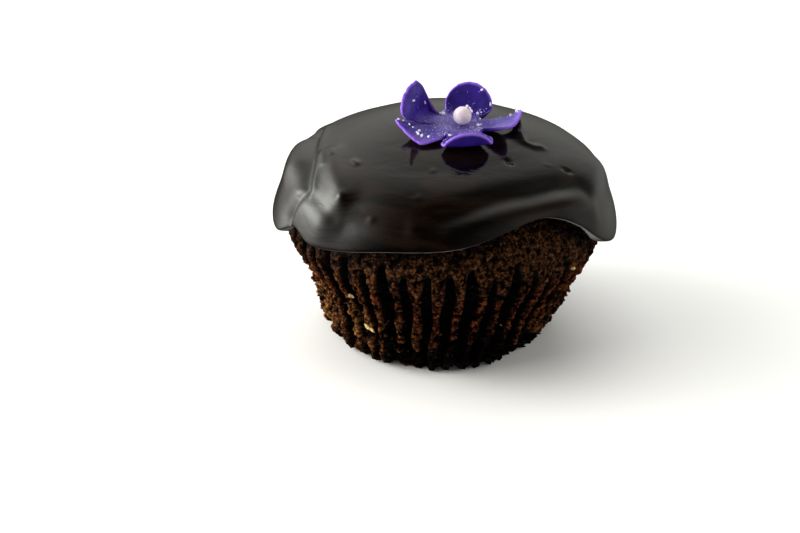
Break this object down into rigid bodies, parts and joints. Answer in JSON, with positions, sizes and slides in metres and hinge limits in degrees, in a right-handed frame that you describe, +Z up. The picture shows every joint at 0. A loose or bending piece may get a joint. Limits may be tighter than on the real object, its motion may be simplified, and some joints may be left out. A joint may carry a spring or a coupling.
{
  "type": "cupcake",
  "caption": "Chocolate cupcake out of its paper case, with pleated crumbly sides, a thick dark poured glaze and a purple sugar-paste flower with a sugar pearl.",
  "frame": {"origin": "middle of the outside box at the height of the foot that it stands on", "axes": "+Z up, -Y to the front with the low middle edge of the glaze, +X to the right"},
  "size_m": [0.0704, 0.0676, 0.055],
  "materials": {
    "sponge": "dry open crumb of dark chocolate sponge, matt",
    "glaze": "set dark chocolate glaze, glossy",
    "sugar_paste": "rolled violet sugar paste, satin, dusted with fine sugar",
    "sugar_pearl": "panned sugar pearl, soft gloss"
  },
  "bodies": {
    "root": {"cake": "sponge", "glaze": "glaze", "flower": "sugar_paste", "pearl": "sugar_pearl"}
  },
  "joints": []
}
